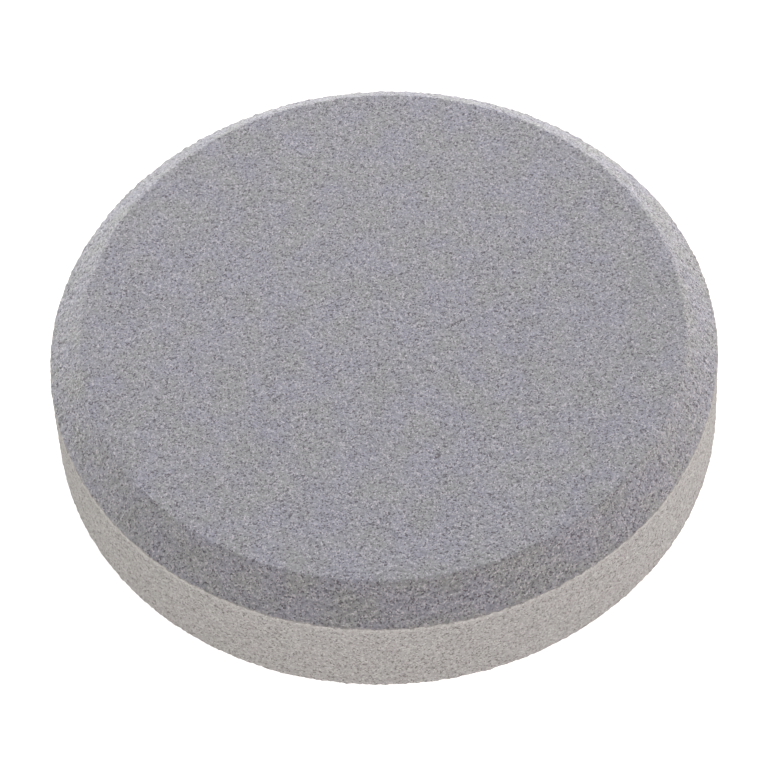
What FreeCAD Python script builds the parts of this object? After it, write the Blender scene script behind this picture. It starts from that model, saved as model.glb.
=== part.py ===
"""Disc air stone: a porous cap bonded to a dense base, with a hose inlet recessed in the underside.

The origin is the centre of the underside. +Z is up. The hose leaves along +Y. Units are millimetres.
"""

import FreeCAD, Part
import math
import os

from FreeCAD import Vector

# ---- the disc ----
DISC_D = 100.0  # outside diameter at the foot of the bevel
DISC_H = 20.0  # overall height
WALL_DRAFT = 0.35  # how much further out the wall stands at the underside, for release from the mould
BEVEL_H = 5.0  # height of the bevel, from the wall to the flat top
FLAT_D = 89.4  # the flat top, which meets its edge at a slight break
SHOULDER_D = 90.5  # where the bevel's steep face would meet the slope from the break, if it weren't rounded
SHOULDER_DROP = 0.115  # how far that corner lies below the flat top
SHOULDER_R = 1.7  # the rounding that replaces the corner
FOOT_EDGE_R = 0.6  # rounding of the wall's lower edge

# ---- the adhesive joint between cap and base ----
BOND_T = 0.4  # thickness of the layer
BOND_BELOW_BEVEL = 0.3  # how much of it lies below the foot of the bevel
BOND_INSET = 0.5  # its inner edge stops this far short of the air chamber

# ---- the air chamber between cap and base ----
CHAMBER_D = 80.0
CHAMBER_H = 4.0  # from the base's floor to its rim
CHAMBER_FILLET_R = 1.0
PILLAR_D = 5.0
PILLAR_RINGS = ((15.0, 6), (29.0, 12))  # radius of each ring of pillars, and how many stand on it
PILLAR_GAP = 0.2  # air left between the pillars and the cap

# ---- the cap's locating lip, which drops inside the base's rim ----
LIP_T = 2.5
LIP_DROP = 1.5
LIP_CLEARANCE = 0.3

# ---- the underside: a pocket for the inlet and a groove for the hose ----
POCKET_D = 18.0
POCKET_H = 7.5
POCKET_EDGE = 0.5  # chamfer where the pocket opens in the underside
GROOVE_W = 8.0
GROOVE_ROOF_R = 2.0
GROOVE_FLARE = 1.5  # how much each side of the groove widens at the wall

# ---- the hose inlet: an elbow with a barb for hose of 4 mm bore and 6 mm outside ----
HOSE_AXIS_Z = 3.6  # height of the barb's axis
ELBOW_D = 5.6
STOP_D = 6.0  # collar that the hose butts against
STOP_Y = 7.4
STOP_T = 0.8
BARB_ROOT_D = 3.6
BARB_TIP_D = 4.8
BARB_COUNT = 3
BARB_PITCH = 2.6
BARB_NECK = 1.2  # plain length between the collar and the first barb
BARB_NOSE = 0.6  # bevelled lead-in at the free end
INLET_BORE_D = 2.2
FLANGE_D = 11.0
FLANGE_T = 1.0
GASKET_T = 0.8
GASKET_BORE_D = 6.2
STEM_D = 6.0
STEM_HOLE_D = 6.4
STEM_PAST_NUT = 0.5
THREAD_PITCH = 1.0
THREAD_DEPTH = 0.4
WASHER_D = 12.0
WASHER_T = 0.5
NUT_ACROSS_FLATS = 10.0
NUT_H = 2.0
NUT_CORNER_CUT = 0.5  # chamfer on the nut's six corners
SEALANT_LEG = 1.6  # size of the bead of sealant in the corner outside the gasket

# ---- worked out from the above ----
DISC_R = DISC_D / 2.0
BEVEL_Z = DISC_H - BEVEL_H  # foot of the bevel
BASE_TOP_Z = BEVEL_Z - BOND_BELOW_BEVEL
CAP_BOTTOM_Z = BASE_TOP_Z + BOND_T
BEVEL_LEAN = (DISC_D - SHOULDER_D) / 2.0 / (BEVEL_H - SHOULDER_DROP)  # inwards, for each mm up
CAP_EDGE_R = DISC_R - (CAP_BOTTOM_Z - BEVEL_Z) * BEVEL_LEAN  # where the bevel meets the adhesive
CHAMBER_R = CHAMBER_D / 2.0
CHAMBER_FLOOR_Z = BASE_TOP_Z - CHAMBER_H
FLANGE_TOP_Z = POCKET_H - GASKET_T
WASHER_TOP_Z = CHAMBER_FLOOR_Z + WASHER_T
NUT_TOP_Z = WASHER_TOP_Z + NUT_H
STEM_TOP_Z = NUT_TOP_Z + STEM_PAST_NUT

ORIGIN = Vector(0, 0, 0)
UP = Vector(0, 0, 1)
BACK = Vector(0, 1, 0)
CUT_PAST = 1.0  # how far a cutting shape runs past the face that it opens


def rod(diameter, start, length, direction=UP):
    """A cylinder that starts at a point."""
    return Part.makeCylinder(diameter / 2.0, length, start, direction)


def upright_rod(diameter, z0, z1, x=0.0, y=0.0):
    return rod(diameter, Vector(x, y, z0), z1 - z0)


def profile_point(point):
    """A point of a half-profile, given as (radius, height)."""
    return Vector(point[0], 0, point[1])


def rounded(before, corner, after, radius):
    """The start, middle and end of the arc that rounds a corner between two straight edges."""
    to_before = (before - corner).normalize()
    to_after = (after - corner).normalize()
    half = to_before.getAngle(to_after) / 2.0
    inward = (to_before + to_after).normalize()
    centre = corner + inward * (radius / math.sin(half))
    reach = radius / math.tan(half)
    return corner + to_before * reach, centre - inward * radius, corner + to_after * reach


def turned(outline):
    """The solid made by turning a closed outline about Z.

    Each point is (radius, height), or (radius, height, rounding) for a corner that is rounded.
    """
    corners = [profile_point(point) for point in outline]
    starts = []
    ends = []
    edges = []
    for i, corner in enumerate(corners):
        start = end = corner
        if len(outline[i]) == 3:
            start, middle, end = rounded(corners[i - 1], corner, corners[(i + 1) % len(corners)], outline[i][2])
            edges.append(Part.Arc(start, middle, end).toShape())
        starts.append(start)
        ends.append(end)
    for i, start in enumerate(starts):
        edges.append(Part.makeLine(ends[i - 1], start))
    wire = Part.Wire(Part.sortEdges(edges)[0])
    return Part.Face(wire).revolve(ORIGIN, UP, 360)


def ring(inner_d, outer_d, z0, z1):
    return upright_rod(outer_d, z0, z1).cut(upright_rod(inner_d, z0 - CUT_PAST, z1 + CUT_PAST))


def edges_at_height(shape, z, tolerance=1e-6):
    """The edges of a shape that lie wholly at one height."""
    boxes = [(edge, edge.BoundBox) for edge in shape.Edges]
    return [e for e, box in boxes if abs(box.ZMin - z) < tolerance and abs(box.ZMax - z) < tolerance]


def diffuser_cap():
    """The porous upper half: a flat plate with a bevelled edge, and a locating lip underneath."""
    lip_outer = CHAMBER_R - LIP_CLEARANCE
    lip_inner = lip_outer - LIP_T
    lip_z = CAP_BOTTOM_Z - LIP_DROP
    return turned([
        (0.0, DISC_H),
        (FLAT_D / 2.0, DISC_H),
        (SHOULDER_D / 2.0, DISC_H - SHOULDER_DROP, SHOULDER_R),
        (CAP_EDGE_R, CAP_BOTTOM_Z),
        (lip_outer, CAP_BOTTOM_Z),
        (lip_outer, lip_z),
        (lip_inner, lip_z),
        (lip_inner, CAP_BOTTOM_Z),
        (0.0, CAP_BOTTOM_Z),
    ])


def bond_ring():
    """The layer of adhesive, flush with the wall and with the bevel."""
    return turned([
        (CHAMBER_R + BOND_INSET, BASE_TOP_Z),
        (DISC_R, BASE_TOP_Z),
        (DISC_R, BEVEL_Z),
        (CAP_EDGE_R, CAP_BOTTOM_Z),
        (CHAMBER_R + BOND_INSET, CAP_BOTTOM_Z),
    ])


def hose_groove():
    """The shape cut out of the base for the hose, from the pocket to the back of the wall."""
    half = GROOVE_W / 2.0
    flare_y = DISC_R - GROOVE_FLARE
    end_y = DISC_R + CUT_PAST
    plan = [
        (-half, 0.0),
        (half, 0.0),
        (half, flare_y),
        (half + GROOVE_FLARE + CUT_PAST, end_y),
        (-half - GROOVE_FLARE - CUT_PAST, end_y),
        (-half, flare_y),
    ]
    corners = [Vector(x, y, -CUT_PAST) for x, y in plan]
    face = Part.Face(Part.makePolygon(corners + corners[:1]))
    block = face.extrude(Vector(0, 0, POCKET_H + CUT_PAST))
    roof = edges_at_height(block, POCKET_H)
    sides = [e for e in roof if e.BoundBox.YLength > GROOVE_FLARE / 2.0]
    return block.makeFillet(GROOVE_ROOF_R, sides)


def pillars():
    """The posts that hold the cap up over the air chamber. The outer ring is turned by half a step."""
    top_z = CAP_BOTTOM_Z - PILLAR_GAP
    posts = []
    for index, (radius, count) in enumerate(PILLAR_RINGS):
        for step in range(count):
            angle = 2.0 * math.pi * (step + 0.5 * index) / count
            x = radius * math.cos(angle)
            y = radius * math.sin(angle)
            posts.append(upright_rod(PILLAR_D, CHAMBER_FLOOR_Z - CUT_PAST, top_z, x, y))
    return posts


def base_shell():
    """The dense lower half: the wall, the floor, the pillars, the pocket and the hose groove."""
    hole_r = STEM_HOLE_D / 2.0
    pocket_r = POCKET_D / 2.0
    shell = turned([
        (pocket_r, POCKET_EDGE),
        (pocket_r + POCKET_EDGE, 0.0),
        (DISC_R + WALL_DRAFT, 0.0, FOOT_EDGE_R),
        (DISC_R, BASE_TOP_Z),
        (CHAMBER_R, BASE_TOP_Z),
        (CHAMBER_R, CHAMBER_FLOOR_Z, CHAMBER_FILLET_R),
        (hole_r, CHAMBER_FLOOR_Z),
        (hole_r, POCKET_H),
        (pocket_r, POCKET_H),
    ])
    return shell.fuse(pillars()).cut(hose_groove()).removeSplitter()


def barb():
    """The barbed spigot, turned about Z from the collar's face and then laid along +Y."""
    root = BARB_ROOT_D / 2.0
    tip = BARB_TIP_D / 2.0
    outline = [(0.0, 0.0), (root, 0.0)]
    for index in range(BARB_COUNT):
        start = BARB_NECK + index * BARB_PITCH
        outline += [(root, start), (tip, start)]
    end = BARB_NECK + BARB_COUNT * BARB_PITCH
    outline += [(root, end), (root - BARB_NOSE / 2.0, end + BARB_NOSE), (0.0, end + BARB_NOSE)]
    spigot = turned(outline)
    spigot.rotate(ORIGIN, Vector(1, 0, 0), -90)
    spigot.translate(Vector(0, STOP_Y + STOP_T, HOSE_AXIS_Z))
    return spigot


def threaded_stem():
    """The stem above the flange, with ring grooves for its thread from the base's floor up."""
    crest = STEM_D / 2.0
    root = crest - THREAD_DEPTH
    outline = [(0.0, FLANGE_TOP_Z), (crest, FLANGE_TOP_Z)]
    for index in range(int((STEM_TOP_Z - CHAMBER_FLOOR_Z) / THREAD_PITCH)):
        z = CHAMBER_FLOOR_Z + index * THREAD_PITCH
        outline += [(crest, z), (root, z + THREAD_PITCH / 2.0)]
    outline += [(crest, STEM_TOP_Z), (0.0, STEM_TOP_Z)]
    return turned(outline)


def elbow_leg():
    """The elbow's level leg, from the bend to the collar."""
    return rod(ELBOW_D, Vector(0, 0, HOSE_AXIS_Z), STOP_Y, BACK)


def inlet_elbow():
    """The hose inlet: barb, collar, bend, flange and threaded stem, with one bore all the way."""
    bend_centre = Vector(0, 0, HOSE_AXIS_Z)
    barb_length = BARB_NECK + BARB_COUNT * BARB_PITCH + BARB_NOSE
    body = Part.makeSphere(ELBOW_D / 2.0, bend_centre)
    body = body.fuse([
        elbow_leg(),
        rod(STOP_D, Vector(0, STOP_Y, HOSE_AXIS_Z), STOP_T, BACK),
        upright_rod(ELBOW_D, HOSE_AXIS_Z, FLANGE_TOP_Z),
        upright_rod(FLANGE_D, FLANGE_TOP_Z - FLANGE_T, FLANGE_TOP_Z),
        barb(),
        threaded_stem(),
    ])
    bore_length = STOP_Y + STOP_T + barb_length + CUT_PAST
    bore = rod(INLET_BORE_D, bend_centre, bore_length, BACK)
    bore = bore.fuse([
        Part.makeSphere(INLET_BORE_D / 2.0, bend_centre),
        upright_rod(INLET_BORE_D, HOSE_AXIS_Z, STEM_TOP_Z + CUT_PAST),
    ])
    return body.cut(bore).removeSplitter()


def inlet_gasket():
    return ring(GASKET_BORE_D, FLANGE_D, FLANGE_TOP_Z, POCKET_H)


def inlet_washer():
    return ring(STEM_HOLE_D, WASHER_D, CHAMBER_FLOOR_Z, WASHER_TOP_Z)


def inlet_nut():
    """A hexagon nut whose corners are chamfered by a cone."""
    corner_r = NUT_ACROSS_FLATS / math.sqrt(3.0)
    corners = [
        Vector(
            corner_r * math.cos(math.radians(60.0 * step)),
            corner_r * math.sin(math.radians(60.0 * step)),
            WASHER_TOP_Z,
        )
        for step in range(6)
    ]
    prism = Part.Face(Part.makePolygon(corners + corners[:1])).extrude(Vector(0, 0, NUT_H))
    cone = turned([
        (0.0, WASHER_TOP_Z),
        (corner_r, WASHER_TOP_Z),
        (corner_r, NUT_TOP_Z - NUT_CORNER_CUT),
        (corner_r - 2.0 * NUT_CORNER_CUT, NUT_TOP_Z),
        (0.0, NUT_TOP_Z),
    ])
    hole = upright_rod(STEM_D, WASHER_TOP_Z - CUT_PAST, NUT_TOP_Z + CUT_PAST)
    return prism.common(cone).cut(hole)


def inlet_sealant():
    """The bead of epoxy round the flange, in the corner under the pocket's roof. It has a hollow face."""
    flange_r = FLANGE_D / 2.0
    outer_r = flange_r + SEALANT_LEG
    bottom_z = POCKET_H - SEALANT_LEG
    inward = Vector(-1, 0, 1).normalize()
    top = profile_point((outer_r, POCKET_H))
    bottom = profile_point((flange_r, bottom_z))
    middle = profile_point((outer_r, bottom_z)) + inward * SEALANT_LEG
    hollow = Part.Arc(top, middle, bottom).toShape()
    corner = profile_point((flange_r, POCKET_H))
    wire = Part.Wire([Part.makeLine(bottom, corner), Part.makeLine(corner, top), hollow])
    return Part.Face(wire).revolve(ORIGIN, UP, 360).cut(elbow_leg())


PARTS = (
    diffuser_cap,
    base_shell,
    bond_ring,
    inlet_elbow,
    inlet_gasket,
    inlet_washer,
    inlet_nut,
    inlet_sealant,
)

os.makedirs("parts", exist_ok=True)
for make in PARTS:
    shape = make()
    if not shape.isValid() or len(shape.Solids) != 1:
        raise RuntimeError(make.__name__ + " isn't one valid solid")
    shape.Solids[0].exportStep(os.path.join("parts", make.__name__ + ".step"))
    print("%-14s %9.1f mm3" % (make.__name__, shape.Volume))
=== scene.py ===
"""Looks for the disc air stone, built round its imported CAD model. Lengths are in metres."""

import math

import bpy
import numpy as np
from mathutils import Matrix, Vector, noise


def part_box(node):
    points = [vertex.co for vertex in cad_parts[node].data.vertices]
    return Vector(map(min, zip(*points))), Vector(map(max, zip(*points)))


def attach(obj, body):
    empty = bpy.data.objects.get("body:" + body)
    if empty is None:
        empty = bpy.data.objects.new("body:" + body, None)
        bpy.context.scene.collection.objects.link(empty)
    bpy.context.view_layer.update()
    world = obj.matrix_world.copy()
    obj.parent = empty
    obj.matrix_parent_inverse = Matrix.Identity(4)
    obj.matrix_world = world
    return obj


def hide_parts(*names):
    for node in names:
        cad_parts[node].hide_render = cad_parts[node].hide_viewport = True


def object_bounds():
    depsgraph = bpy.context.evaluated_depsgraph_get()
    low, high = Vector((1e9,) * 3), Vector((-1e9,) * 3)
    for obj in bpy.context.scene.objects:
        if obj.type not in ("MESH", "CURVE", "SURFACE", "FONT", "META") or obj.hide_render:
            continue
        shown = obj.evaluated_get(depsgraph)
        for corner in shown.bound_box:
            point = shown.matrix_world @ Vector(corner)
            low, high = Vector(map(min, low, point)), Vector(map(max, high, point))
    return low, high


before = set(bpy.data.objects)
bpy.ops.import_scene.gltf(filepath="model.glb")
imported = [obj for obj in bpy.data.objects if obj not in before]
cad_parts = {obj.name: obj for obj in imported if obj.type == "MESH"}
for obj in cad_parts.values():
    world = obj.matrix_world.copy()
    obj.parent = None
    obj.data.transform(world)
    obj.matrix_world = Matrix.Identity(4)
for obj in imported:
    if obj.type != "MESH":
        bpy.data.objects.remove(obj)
cad_low, cad_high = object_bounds()
MM = 0.001

# ---- sizes read from the frame ----
disc_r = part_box("bond_ring")[1].x
disc_h = cad_high.z
wall_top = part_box("bond_ring")[0].z
cap_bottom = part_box("bond_ring")[1].z
lip_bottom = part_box("diffuser_cap")[0].z
cap_edge_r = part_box("diffuser_cap")[1].x
pillar_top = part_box("base_shell")[1].z
pocket_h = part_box("inlet_gasket")[1].z
chamber_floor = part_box("inlet_washer")[0].z

# ---- the CAD's sizes that its boxes don't give ----
BEVEL_H = 5.0 * MM
FLAT_R = 44.7 * MM
SHOULDER_IN = 4.75 * MM
SHOULDER_DROP = 0.115 * MM
SHOULDER_R = 1.7 * MM
WALL_DRAFT = 0.35 * MM
FOOT_EDGE_R = 0.6 * MM
CHAMBER_R = 40.0 * MM
BOND_INNER_R = 40.5 * MM
LIP_OUTER_R = 39.7 * MM
LIP_INNER_R = 37.2 * MM
STEM_HOLE_R = 3.2 * MM
POCKET_R = 9.0 * MM
POCKET_EDGE = 0.5 * MM
GROOVE_HALF_W = 4.0 * MM
GROOVE_ROOF_R = 2.0 * MM
GROOVE_FLARE = 1.5 * MM
PILLAR_R = 2.5 * MM
PILLAR_RINGS = ((15.0 * MM, 6), (29.0 * MM, 12))
bevel_foot = disc_h - BEVEL_H

# ---- how fine the skins are: the spacing of their vertices ----
CAP_STEP = 0.325 * MM
WALL_STEP = 0.33 * MM
BOND_STEP = 0.25 * MM
UNDER_STEP = 0.5 * MM
HIDDEN_STEP = 3.0 * MM

# ---- the grain's relief ----
CAP_GRAIN_DEPTH = 0.20 * MM
BASE_GRAIN_DEPTH = 0.16 * MM
GRAIN_SHARE = 0.6  # of that depth: how deep an ordinary grain can be set
GRAIN_BIAS = 1.5  # above 1, so that shallow grains are the more common
PORE_SHARE = 0.4  # of that depth: how much further a pore can go
PORE_CHANCE = 0.05
WAVE_LENGTH = 0.8 * MM  # the size of the slow unevenness under the grain
WAVE_DEPTH = 0.24 * MM
WAVE_DETAIL = (1.0, 2.3, 2)  # the fractal's exponent, lacunarity and octaves
STRAY = 0.32 * MM  # how far the joint's line can stray up or down
JOINT_REACH = 0.5 * MM  # how near to the adhesive the grain's relief fades and the straying starts
GROUND_STRENGTH = 0.45  # the share of the relief that the flat top keeps
GROUND_REACH = 0.6 * MM  # how far below the flat top its smoothness ends
REST_STRENGTH = 0.5  # the share of the relief that the resting face keeps

# ---- margins ----
SNAP = 0.01 * MM  # how near two heights count as the same
CHAMBER_MARGIN = 0.1 * MM  # slack in telling which vertices belong to the air chamber
EDGE_MARGIN = 0.6 * MM  # how far the fine mesh goes on past a visible edge, on the glued faces
EDGE_BAND = 0.15 * MM  # the part of that margin which moves with the edge
OVERLAP = 1.0 * MM  # how far a cutting or joining tool runs past the face that it meets

rng = np.random.default_rng(7)


# ---- meshes ----


def vertex_places(mesh):
    flat = np.zeros(len(mesh.vertices) * 3)
    mesh.vertices.foreach_get("co", flat)
    return flat.reshape(-1, 3)


def signed_volume(mesh):
    """The volume inside a closed mesh, negative if its faces look inwards."""
    mesh.calc_loop_triangles()
    corners = np.zeros(len(mesh.loop_triangles) * 3, np.int32)
    mesh.loop_triangles.foreach_get("vertices", corners)
    a, b, c = vertex_places(mesh)[corners].reshape(-1, 3, 3).transpose(1, 0, 2)
    return float((a * np.cross(b, c)).sum() / 6)


def new_piece(name, points, faces):
    """A mesh object whose faces look outwards."""
    mesh = bpy.data.meshes.new(name)
    mesh.from_pydata(points, [], faces)
    if signed_volume(mesh) < 0:
        mesh.flip_normals()
    piece = bpy.data.objects.new(name, mesh)
    bpy.context.scene.collection.objects.link(piece)
    return piece


def combine(piece, tool, operation):
    """Cuts a tool out of a piece, or joins it on, and removes the tool."""
    modifier = piece.modifiers.new(operation.lower(), "BOOLEAN")
    modifier.operation = operation
    modifier.solver = "MANIFOLD"
    modifier.object = tool
    graph = bpy.context.evaluated_depsgraph_get()
    result = bpy.data.meshes.new_from_object(piece.evaluated_get(graph))
    piece.modifiers.clear()
    old = piece.data
    piece.data = result
    bpy.data.meshes.remove(old)
    bpy.data.objects.remove(tool)
    result.name = piece.name


def corner_arc(before, corner, after, radius, step):
    """Points of (radius, height, step) that round a convex corner of an outline."""
    b, c, a = (np.array(p, float) for p in (before, corner, after))
    to_b = (b - c) / np.linalg.norm(b - c)
    to_a = (a - c) / np.linalg.norm(a - c)
    half = math.acos(float(to_b @ to_a)) / 2
    reach = radius / math.tan(half)
    centre = c + (to_b + to_a) / np.linalg.norm(to_b + to_a) * radius / math.sin(half)
    start = c + to_b * reach - centre
    end = c + to_a * reach - centre
    turn = math.pi - 2 * half
    count = max(2, math.ceil(turn * radius / step))
    points = []
    for k in range(count + 1):
        t = k / count
        spoke = (math.sin((1 - t) * turn) * start + math.sin(t * turn) * end) / math.sin(turn)
        points.append((*(centre + spoke), step))
    return points


def rings_of(outline, closed):
    """Rings along an outline of (radius, height, step): each has those three and whether it is a corner."""
    rings = []
    for i in range(len(outline) if closed else len(outline) - 1):
        r0, z0, step = outline[i]
        r1, z1, _ = outline[(i + 1) % len(outline)]
        count = max(1, round(math.hypot(r1 - r0, z1 - z0) / (step * math.sqrt(3) / 2)))
        for k in range(count):
            t = k / count
            rings.append((r0 + (r1 - r0) * t, z0 + (z1 - z0) * t, step, k == 0))
    if not closed:
        rings.append((*outline[-1], True))
    return rings


def zip_rings(ring_a, ring_b):
    """Triangles between two rings, each given as its first vertex and the angles of its vertices."""
    (start_a, angles_a), (start_b, angles_b) = ring_a, ring_b
    count_a, count_b = len(angles_a), len(angles_b)
    if count_a == 1:
        return [(start_a, start_b + j, start_b + (j + 1) % count_b) for j in range(count_b)]
    if count_b == 1:
        return [(start_a + i, start_b, start_a + (i + 1) % count_a) for i in range(count_a)]
    ends_a = [*angles_a[1:], angles_a[0] + math.tau]
    ends_b = [*angles_b[1:], angles_b[0] + math.tau]
    triangles = []
    i = j = 0
    while i < count_a or j < count_b:
        a = start_a + i % count_a
        b = start_b + j % count_b
        if j >= count_b or (i < count_a and ends_a[i] < ends_b[j]):
            i += 1
            triangles.append((a, b, start_a + i % count_a))
        else:
            j += 1
            triangles.append((a, b, start_b + j % count_b))
    return triangles


def turned_skin(name, outline, closed=False, jitter=0.45):
    """A closed mesh turned about Z from an outline, its vertices shuffled a little along the surface.

    Those on the outline's corners stay even, so that two skins that share a corner meet in their vertices.
    """
    rings = rings_of(outline, closed)
    points = []
    placed = []
    for index, (r, z, step, corner) in enumerate(rings):
        if r < 1e-9:
            placed.append((len(points), [0.0]))
            points.append((0.0, 0.0, z))
            continue
        count = max(6, round(math.tau * r / step))
        angles = np.arange(count) * math.tau / count
        radii = np.full(count, r)
        heights = np.full(count, z)
        if not corner:
            shuffle = jitter * rng.uniform(-0.5, 0.5, (2, count))
            angles += (0.5 * (index % 2) + shuffle[0]) * math.tau / count
            before, after = rings[index - 1], rings[(index + 1) % len(rings)]
            along = np.array([after[0] - before[0], after[1] - before[1]])
            along *= step / np.linalg.norm(along)
            radii += along[0] * shuffle[1]
            heights += along[1] * shuffle[1]
        placed.append((len(points), angles.tolist()))
        points += np.stack([radii * np.cos(angles), radii * np.sin(angles), heights], axis=1).tolist()
    triangles = []
    for ring_a, ring_b in zip(placed, placed[1:] + (placed[:1] if closed else [])):
        triangles += zip_rings(ring_a, ring_b)
    return new_piece(name, points, triangles)


def roughen(piece, depth, strength):
    """Sinks the vertices by random depths and slow waves, as on a surface of bonded grains.

    Strength gives each vertex's share of both, from 0 on hidden faces to 1. Towards the adhesive the
    random depths fade out, the waves turn level, and the surface strays up and down, alike on the three
    skins, so that they keep meeting there. The random part stays in the attribute grain_depth, which
    the material reads to darken the deepest grains and the pores with painted shade.
    """
    mesh = piece.data
    places = vertex_places(mesh)
    normals = np.zeros(len(places) * 3)
    mesh.vertex_normals.foreach_get("vector", normals)
    normals = normals.reshape(-1, 3)
    clear = np.clip(np.maximum(places[:, 2] - cap_bottom, wall_top - places[:, 2]) / JOINT_REACH, 0.0, 1.0)
    normals[:, 2] *= np.maximum(clear, 0.01)  # not quite to 0, so that each keeps a direction
    normals /= np.linalg.norm(normals, axis=1)[:, None]
    share = GRAIN_SHARE * rng.random(len(places)) ** GRAIN_BIAS
    pores = rng.random(len(places)) < PORE_CHANCE
    share[pores] += PORE_SHARE * rng.random(int(pores.sum()))
    share *= clear
    wave = np.array([noise.fractal(Vector(p) / WAVE_LENGTH, *WAVE_DETAIL) for p in places])
    stray = np.array([noise.noise(Vector((x, y, 0.0)) / WAVE_LENGTH) for x, y, _ in places])
    sink = depth * share + WAVE_DEPTH * (0.5 + 0.5 * np.clip(wave, -1, 1))
    shown = strength(places)
    places -= normals * (sink * shown)[:, None]
    places[:, 2] += STRAY * stray * (1 - clear) * shown
    mesh.vertices.foreach_set("co", places.ravel())
    attribute = mesh.attributes.new("grain_depth", "FLOAT", "POINT")
    attribute.data.foreach_set("value", share.astype(np.float32))
    mesh.update()


def place(piece, node, material):
    """Puts a piece on the object in place of a CAD node."""
    piece.data.materials.clear()
    piece.data.materials.append(material)
    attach(piece, "root")
    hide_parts(node)


# ---- the three visible skins ----


def porous_cap():
    """The porous half: flat top, rounded shoulder, bevel, and the locating lip underneath."""
    shoulder = (disc_r - SHOULDER_IN, disc_h - SHOULDER_DROP)
    outline = [(0.0, disc_h, CAP_STEP), (FLAT_R, disc_h, CAP_STEP)]
    outline += corner_arc((FLAT_R, disc_h), shoulder, (cap_edge_r, cap_bottom), SHOULDER_R, CAP_STEP)
    outline += [
        (cap_edge_r, cap_bottom, BOND_STEP),
        (disc_r - EDGE_MARGIN, cap_bottom, HIDDEN_STEP),
        (LIP_OUTER_R, cap_bottom, HIDDEN_STEP),
        (LIP_OUTER_R, lip_bottom, HIDDEN_STEP),
        (LIP_INNER_R, lip_bottom, HIDDEN_STEP),
        (LIP_INNER_R, cap_bottom, HIDDEN_STEP),
        (0.0, cap_bottom, HIDDEN_STEP),
    ]
    piece = turned_skin("porous_cap", outline)

    def strength(p):
        """The flat top was ground, so it is smoother. The underside is hidden, so it stays plain."""
        exposed = (p[:, 2] > cap_bottom + SNAP) | (np.hypot(p[:, 0], p[:, 1]) > cap_edge_r - EDGE_BAND)
        below_top = np.clip((disc_h - p[:, 2]) / GROUND_REACH, 0.0, 1.0)
        return exposed * (GROUND_STRENGTH + (1 - GROUND_STRENGTH) * below_top)

    roughen(piece, CAP_GRAIN_DEPTH, strength)
    return piece


def bond_bead():
    """The edge of the adhesive, a slightly uneven line round the foot of the bevel."""
    outline = [
        (BOND_INNER_R, wall_top, HIDDEN_STEP),
        (disc_r - EDGE_MARGIN, wall_top, BOND_STEP * 2),
        (disc_r, wall_top, BOND_STEP),
        (disc_r, bevel_foot, BOND_STEP),
        (cap_edge_r, cap_bottom, BOND_STEP),
        (disc_r - EDGE_MARGIN, cap_bottom, HIDDEN_STEP),
        (BOND_INNER_R, cap_bottom, HIDDEN_STEP),
    ]
    piece = turned_skin("bond_bead", outline, closed=True, jitter=0.3)
    roughen(piece, 0.0, lambda p: np.hypot(p[:, 0], p[:, 1]) > disc_r - EDGE_BAND)
    return piece


def groove_section(roof):
    """The groove's outline across its length, up one side and down the other, as (x, z) points."""
    shoulder = roof - GROOVE_ROOF_R
    rises = math.ceil((shoulder + OVERLAP) / UNDER_STEP)
    turns = math.ceil(GROOVE_ROOF_R * math.pi / 2 / UNDER_STEP)
    flat = GROOVE_HALF_W - GROOVE_ROOF_R
    flats = math.ceil(flat / UNDER_STEP)
    left = [(-GROOVE_HALF_W, -OVERLAP + (shoulder + OVERLAP) * k / rises) for k in range(rises)]
    for k in range(turns):
        angle = math.pi / 2 * k / turns
        x = -flat - GROOVE_ROOF_R * math.cos(angle)
        left.append((x, shoulder + GROOVE_ROOF_R * math.sin(angle)))
    left += [(-flat + flat * k / flats, roof) for k in range(flats)]
    return [*left, (0.0, roof), *((-x, z) for x, z in reversed(left))]


def groove_tool():
    """The solid that cuts the hose groove, with a mesh fine enough to take grain."""
    roof = pocket_h - 0.02 * MM  # just under the pocket's roof, so that the two never share a plane
    start = POCKET_R * 0.7  # inside the pocket, where it cuts nothing more
    end = disc_r + OVERLAP
    count = math.ceil((end - start) / UNDER_STEP)
    section = groove_section(roof)
    size = len(section)
    points = []
    for i in range(count + 1):
        y = start + (end - start) * i / count
        widen = 1 + max(0.0, y - (disc_r - GROOVE_FLARE)) / GROOVE_HALF_W
        points += [(x * widen, y, z) for x, z in section]
    faces = [tuple(range(size)), tuple(reversed(range(count * size, (count + 1) * size)))]
    for i in range(count):
        for j in range(size):
            a, b = i * size + j, i * size + (j + 1) % size
            faces.append((a, a + size, b + size, b))
    return new_piece("groove_tool", points, faces)


def pillars_tool():
    """The posts of the air chamber as one mesh, sunk a little into its floor."""
    sides = 24
    points = []
    faces = []
    for index, (ring_r, count) in enumerate(PILLAR_RINGS):
        for step in range(count):
            turn = math.tau * (step + 0.5 * index) / count
            first = len(points)
            for z in (chamber_floor - OVERLAP, pillar_top):
                for k in range(sides):
                    angle = math.tau * k / sides
                    x = ring_r * math.cos(turn) + PILLAR_R * math.cos(angle)
                    y = ring_r * math.sin(turn) + PILLAR_R * math.sin(angle)
                    points.append((x, y, z))
            bottom = [first + k for k in range(sides)]
            top = [first + sides + k for k in range(sides)]
            faces += [tuple(reversed(bottom)), tuple(top)]
            faces += [(bottom[k - 1], bottom[k], top[k], top[k - 1]) for k in range(sides)]
    return new_piece("pillars_tool", points, faces)


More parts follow.
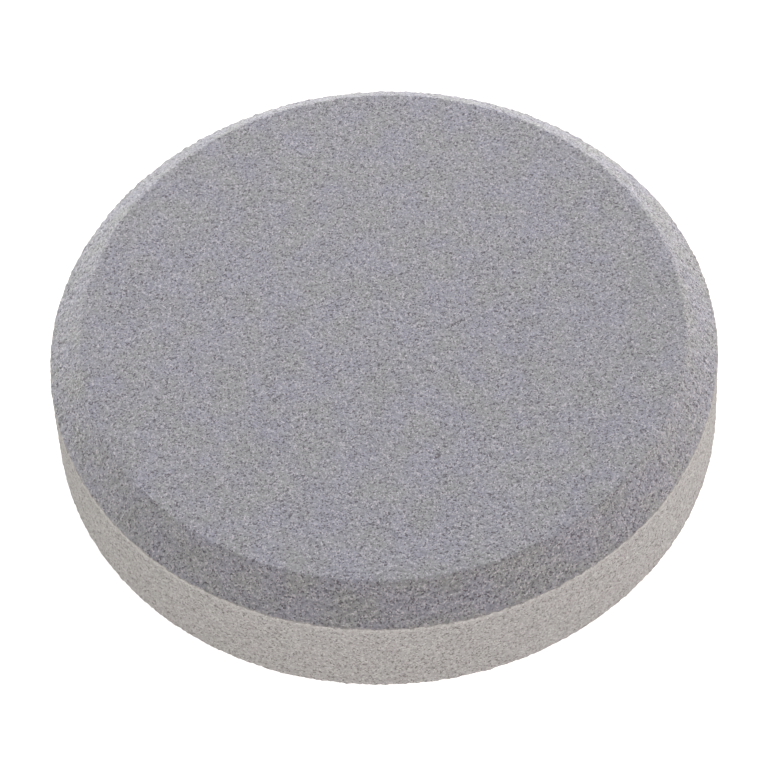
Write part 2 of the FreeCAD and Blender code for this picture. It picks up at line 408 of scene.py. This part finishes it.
def dense_base():
    """The dense half: wall, underside, pocket, hose groove, and the air chamber with its pillars."""
    outline = [(POCKET_R + POCKET_EDGE, 0.0, UNDER_STEP)]
    foot = (disc_r + WALL_DRAFT, 0.0)
    outline += corner_arc((POCKET_R, 0.0), foot, (disc_r, wall_top), FOOT_EDGE_R, WALL_STEP)
    outline += [
        (disc_r, wall_top, BOND_STEP),
        (disc_r - EDGE_MARGIN, wall_top, HIDDEN_STEP),
        (CHAMBER_R, wall_top, HIDDEN_STEP),
        (CHAMBER_R, chamber_floor, HIDDEN_STEP),
        (STEM_HOLE_R, chamber_floor, HIDDEN_STEP),
        (STEM_HOLE_R, pocket_h, UNDER_STEP),
        (POCKET_R, pocket_h, UNDER_STEP),
        (POCKET_R, POCKET_EDGE, UNDER_STEP),
    ]
    piece = turned_skin("dense_base", outline, closed=True)
    combine(piece, groove_tool(), "DIFFERENCE")
    combine(piece, pillars_tool(), "UNION")

    def strength(p):
        """The air chamber and the glued face stay plain. The resting face is smoother than the wall."""
        radii = np.hypot(p[:, 0], p[:, 1])
        chamber = (radii < CHAMBER_R + CHAMBER_MARGIN) & (p[:, 2] > pocket_h + CHAMBER_MARGIN)
        glued = (radii < disc_r - EDGE_BAND) & (p[:, 2] > wall_top - SNAP)
        return np.where(chamber | glued, 0.0, np.where(p[:, 2] < SNAP, REST_STRENGTH, 1.0))

    roughen(piece, BASE_GRAIN_DEPTH, strength)
    return piece


# ---- materials ----


def node(tree, kind, inputs=None, **settings):
    """Adds a shader node, with its settings, and its inputs set to a value or linked to a socket."""
    made = tree.nodes.new(kind)
    for name, value in settings.items():
        setattr(made, name, value)
    for name, value in (inputs or {}).items():
        if isinstance(value, bpy.types.NodeSocket):
            tree.links.new(value, made.inputs[name])
        else:
            made.inputs[name].default_value = value
    return made


def ramp(tree, factor, stops, interpolation="LINEAR"):
    """A colour ramp with stops of (position, colour)."""
    made = node(tree, "ShaderNodeValToRGB", {"Fac": factor})
    made.color_ramp.interpolation = interpolation
    elements = made.color_ramp.elements
    while len(elements) < len(stops):
        elements.new(0.5)
    for element, (position, colour) in zip(elements, stops):
        element.position = position
        element.color = (*colour, 1.0)
    return made.outputs["Color"]


def mix(tree, factor, a, b, blend="MIX"):
    """Mixes two colours. Each is a socket or an RGB triple."""
    made = node(tree, "ShaderNodeMix", data_type="RGBA", blend_type=blend)
    for index, value in ((0, factor), (6, a), (7, b)):
        if isinstance(value, bpy.types.NodeSocket):
            tree.links.new(value, made.inputs[index])
        else:
            made.inputs[index].default_value = value if index == 0 else (*value, 1.0)
    return made.outputs[2]


def start_material(name):
    """A material with a Principled shader, and coordinates in millimetres."""
    material = bpy.data.materials.new(name)
    material.use_nodes = True
    tree = material.node_tree
    shader = tree.nodes["Principled BSDF"]
    coords = node(tree, "ShaderNodeTexCoord").outputs["Object"]
    scaled = node(tree, "ShaderNodeVectorMath", {0: coords, "Scale": 1 / MM}, operation="SCALE")
    return material, tree, shader, scaled.outputs[0]


def pale_joint_and_painted_highlight(tree, mm, colour, full_z, none_z):
    """Lightens a colour next to the adhesive, partly as the adhesive's own pale colour and partly as a
    painted highlight where the edge at the joint catches the light: most at one height, not at all at
    another, unevenly between.
    """
    height = node(tree, "ShaderNodeSeparateXYZ", {0: mm}).outputs["Z"]
    ragged = node(tree, "ShaderNodeTexNoise", {"Vector": mm, "Scale": 1.3, "Detail": 3.0}).outputs["Fac"]
    spread = 1.2  # in millimetres, between the noise's lowest and highest
    most = 0.36
    raised = node(tree, "ShaderNodeMath", {0: ragged, 1: spread, 2: height}, operation="MULTIPLY_ADD")
    amount = node(
        tree,
        "ShaderNodeMapRange",
        {
            "Value": raised.outputs[0],
            "From Min": none_z + spread / 2,
            "From Max": full_z + spread / 2,
            "To Max": most,
        },
    ).outputs["Result"]
    # the pale: partly the adhesive's own colour, partly a painted highlight where the edge at the joint
    # catches the light
    return mix(tree, amount, colour, (0.56, 0.54, 0.53))


def grain_ceramic(
    name, dark, body, body_tint, pale, grain_mm, dark_share, pale_share, pore_shade_colour, bump, rim
):
    """Bonded ceramic grains: a cell for each grain, in dark, body and pale colours, with painted shade
    darkening the pores.

    The rim is the pair of heights, in millimetres, between which the colour pales towards the adhesive,
    partly as the adhesive's own pale colour and partly as a painted highlight on the edge at the joint.
    """
    material, tree, shader, mm = start_material(name)
    blotch = node(tree, "ShaderNodeTexNoise", {"Vector": mm, "Scale": 0.22, "Detail": 2.0})
    tint = ramp(tree, blotch.outputs["Fac"], ((0.38, body), (0.62, body_tint)))
    cells = node(tree, "ShaderNodeTexVoronoi", {"Vector": mm, "Scale": 1 / grain_mm})
    chance = node(tree, "ShaderNodeSeparateColor", {"Color": cells.outputs["Color"]})
    soft = 0.06
    is_dark = ramp(
        tree,
        chance.outputs["Red"],
        ((max(0.0, dark_share - soft), (1, 1, 1)), (dark_share + soft, (0, 0, 0))),
    )
    is_pale = ramp(
        tree,
        chance.outputs["Green"],
        ((1 - pale_share - soft, (0, 0, 0)), (min(1.0, 1 - pale_share + soft), (1, 1, 1))),
    )
    shade = node(tree, "ShaderNodeTexNoise", {"Vector": mm, "Scale": 2.2, "Detail": 3.0})
    grey = ramp(tree, shade.outputs["Fac"], ((0.3, (0.35,) * 3), (0.7, (0.65,) * 3)))
    body_now = mix(tree, 0.5, tint, grey, "OVERLAY")
    colour = mix(tree, is_dark, body_now, dark)
    colour = mix(tree, is_pale, colour, pale)
    # painted shade: the pores and the deepest grains are darkened by their depth, where shade falls in them
    depth = node(tree, "ShaderNodeAttribute", attribute_name="grain_depth")
    pore_shade_mask = ramp(tree, depth.outputs["Fac"], ((0.45, (0, 0, 0)), (0.95, (1, 1, 1))))
    # then pales towards the adhesive: partly the adhesive's own pale colour, partly a painted highlight on
    # the edge at the joint
    colour = pale_joint_and_painted_highlight(tree, mm, mix(tree, pore_shade_mask, colour, pore_shade_colour), *rim)
    tree.links.new(colour, shader.inputs["Base Color"])
    rough = ramp(tree, chance.outputs["Blue"], ((0.0, (0.72,) * 3), (1.0, (0.95,) * 3)))
    tree.links.new(rough, shader.inputs["Roughness"])
    fine = node(tree, "ShaderNodeTexNoise", {"Vector": mm, "Scale": 5.0, "Detail": 2.0})
    height = node(
        tree,
        "ShaderNodeMath",
        {0: cells.outputs["Distance"], 1: fine.outputs["Fac"]},
        operation="ADD",
    )
    relief = node(
        tree,
        "ShaderNodeBump",
        {"Height": height.outputs[0], "Strength": bump, "Distance": 0.1 * MM},
        invert=True,
    )
    tree.links.new(relief.outputs["Normal"], shader.inputs["Normal"])
    shader.inputs["Specular IOR Level"].default_value = 0.35
    return material


def plain_moulded(name, colour, worn, roughness, grain_scale, bump, specular=0.5, coat=0.0):
    """A moulded or cured material: slow colour variation, faint scuffs and a fine surface."""
    material, tree, shader, mm = start_material(name)
    cloud = node(tree, "ShaderNodeTexNoise", {"Vector": mm, "Scale": 0.6, "Detail": 4.0})
    colour_now = ramp(tree, cloud.outputs["Fac"], ((0.35, colour), (0.75, worn)))
    tree.links.new(colour_now, shader.inputs["Base Color"])
    fine = node(tree, "ShaderNodeTexNoise", {"Vector": mm, "Scale": grain_scale, "Detail": 3.0})
    rough = ramp(
        tree,
        fine.outputs["Fac"],
        ((0.3, (max(0.0, roughness - 0.08),) * 3), (0.7, (min(1.0, roughness + 0.08),) * 3)),
    )
    tree.links.new(rough, shader.inputs["Roughness"])
    relief = node(
        tree,
        "ShaderNodeBump",
        {"Height": fine.outputs["Fac"], "Strength": bump, "Distance": 0.05 * MM},
    )
    tree.links.new(relief.outputs["Normal"], shader.inputs["Normal"])
    shader.inputs["Specular IOR Level"].default_value = specular
    shader.inputs["Coat Weight"].default_value = coat
    return material


# ---- build ----

cap_ceramic = grain_ceramic(
    "porous_ceramic",
    dark=(0.195, 0.185, 0.205),
    body=(0.408, 0.412, 0.475),
    body_tint=(0.41, 0.42, 0.43),
    pale=(0.625, 0.61, 0.65),
    grain_mm=0.20,
    dark_share=0.16,
    pale_share=0.16,
    # the colour of the painted shade in the pores
    pore_shade_colour=(0.16, 0.155, 0.175),
    bump=0.5,
    rim=(15.0, 15.35),
)
base_ceramic = grain_ceramic(
    "dense_ceramic",
    dark=(0.22, 0.205, 0.20),
    body=(0.398, 0.392, 0.393),
    body_tint=(0.403, 0.388, 0.396),
    pale=(0.53, 0.525, 0.525),
    grain_mm=0.22,
    dark_share=0.16,
    pale_share=0.16,
    # the colour of the painted shade in the pores
    pore_shade_colour=(0.175, 0.165, 0.16),
    bump=0.3,
    rim=(14.6, 13.9),
)
bond_epoxy = grain_ceramic(
    "bond_epoxy",
    dark=(0.27, 0.26, 0.26),
    body=(0.42, 0.405, 0.41),
    body_tint=(0.41, 0.405, 0.41),
    pale=(0.60, 0.59, 0.59),
    grain_mm=0.22,
    dark_share=0.18,
    pale_share=0.25,
    # the colour of the painted shade in the pores
    pore_shade_colour=(0.27, 0.26, 0.26),
    bump=0.3,
    rim=(15.0, 14.6),
)
place(porous_cap(), "diffuser_cap", cap_ceramic)
place(dense_base(), "base_shell", base_ceramic)
place(bond_bead(), "bond_ring", bond_epoxy)

nylon = plain_moulded(
    "inlet_nylon",
    (0.03, 0.03, 0.034),
    (0.05, 0.05, 0.055),
    roughness=0.42,
    grain_scale=6.0,
    bump=0.15,
)
fittings = {
    "inlet_elbow": nylon,
    "inlet_nut": nylon,
    "inlet_gasket": plain_moulded(
        "gasket_rubber",
        (0.04, 0.04, 0.04),
        (0.07, 0.07, 0.07),
        roughness=0.8,
        grain_scale=4.0,
        bump=0.3,
        specular=0.3,
    ),
    "inlet_washer": plain_moulded(
        "washer_nylon",
        (0.62, 0.60, 0.55),
        (0.54, 0.52, 0.47),
        roughness=0.45,
        grain_scale=5.0,
        bump=0.15,
    ),
    "inlet_sealant": plain_moulded(
        "sealant_epoxy",
        (0.5, 0.44, 0.33),
        (0.4, 0.34, 0.24),
        roughness=0.25,
        grain_scale=1.5,
        bump=0.4,
        coat=0.3,
    ),
}
for name, material in fittings.items():
    cad_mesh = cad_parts[name].data
    cad_mesh.materials.clear()
    cad_mesh.materials.append(material)


# ---- the studio ----

LAMP_DISTANCE = 1.5  # from the frame's origin to each softbox


def floor():
    """A plain table that glows white, as a light table does."""
    half = 4.0
    piece = new_piece(
        "floor",
        [(-half, -half, 0.0), (half, -half, 0.0), (half, half, 0.0), (-half, half, 0.0)],
        [(0, 1, 2, 3)],
    )
    material = bpy.data.materials.new("floor_white")
    material.use_nodes = True
    shader = material.node_tree.nodes["Principled BSDF"]
    shader.inputs["Base Color"].default_value = (0.5, 0.5, 0.5, 1.0)
    shader.inputs["Roughness"].default_value = 0.9
    shader.inputs["Specular IOR Level"].default_value = 0.0
    shader.inputs["Emission Color"].default_value = (1.0, 0.98, 0.96, 1.0)
    shader.inputs["Emission Strength"].default_value = 1.0
    piece.data.materials.append(material)


def softbox(name, turn, elevation, size, power, colour):
    """A square area light that faces the disc. Its turn is counted from +X towards +Y, in degrees."""
    data = bpy.data.lights.new(name, "AREA")
    data.size = size
    data.energy = power
    data.color = colour
    lamp = bpy.data.objects.new(name, data)
    turn, elevation = math.radians(turn), math.radians(elevation)
    level = math.cos(elevation)
    direction = Vector((level * math.cos(turn), level * math.sin(turn), math.sin(elevation)))
    lamp.location = LAMP_DISTANCE * direction
    lamp.rotation_euler = (-lamp.location).to_track_quat("-Z", "Y").to_euler()
    bpy.context.scene.collection.objects.link(lamp)


def studio_world():
    """Bright from below up to a little over the horizon, and dark above."""
    world = bpy.data.worlds.new("studio")
    world.use_nodes = True
    bpy.context.scene.world = world
    tree = world.node_tree
    coords = node(tree, "ShaderNodeTexCoord").outputs["Generated"]
    parts = node(tree, "ShaderNodeSeparateXYZ", {0: coords})
    sky = ramp(tree, parts.outputs["Z"], ((0.13, (1.0, 0.95, 0.80)), (0.27, (0.005, 0.009, 0.018))))
    background = tree.nodes["Background"]
    background.inputs["Strength"].default_value = 2.55
    tree.links.new(sky, background.inputs["Color"])


def camera():
    """Looks down from the front, level but for a slight tilt of the head."""
    elevation = math.radians(54.55)
    distance = 0.5082
    look = Vector((0.0, math.cos(elevation), -math.sin(elevation)))
    up = Vector((0.0, math.sin(elevation), math.cos(elevation)))
    aim_up, aim_left = 2.94, 0.22  # in millimetres, from the frame's origin
    aim = up * aim_up * MM - Vector((aim_left * MM, 0.0, 0.0))
    data = bpy.data.cameras.new("camera")
    data.lens = 155.5
    data.sensor_width = 36.0
    made = bpy.data.objects.new("camera", data)
    made.location = -look * distance
    facing = (aim - made.location).to_track_quat("-Z", "Y").to_matrix()
    roll = Matrix.Rotation(math.radians(-3.33), 3, "Z")
    made.rotation_euler = (facing @ roll).to_euler()
    bpy.context.scene.collection.objects.link(made)
    bpy.context.scene.camera = made


floor()
softbox("key_light", 99, 36, 1.1, 23.5, (1.0, 0.99, 0.99))
softbox("right_light", 30, 18, 0.9, 6.4, (1.0, 0.95, 0.88))
softbox("front_light", 305, 36, 0.9, 3.5, (1.0, 0.83, 0.92))
studio_world()
camera()
bpy.context.scene.view_settings.view_transform = "Standard"
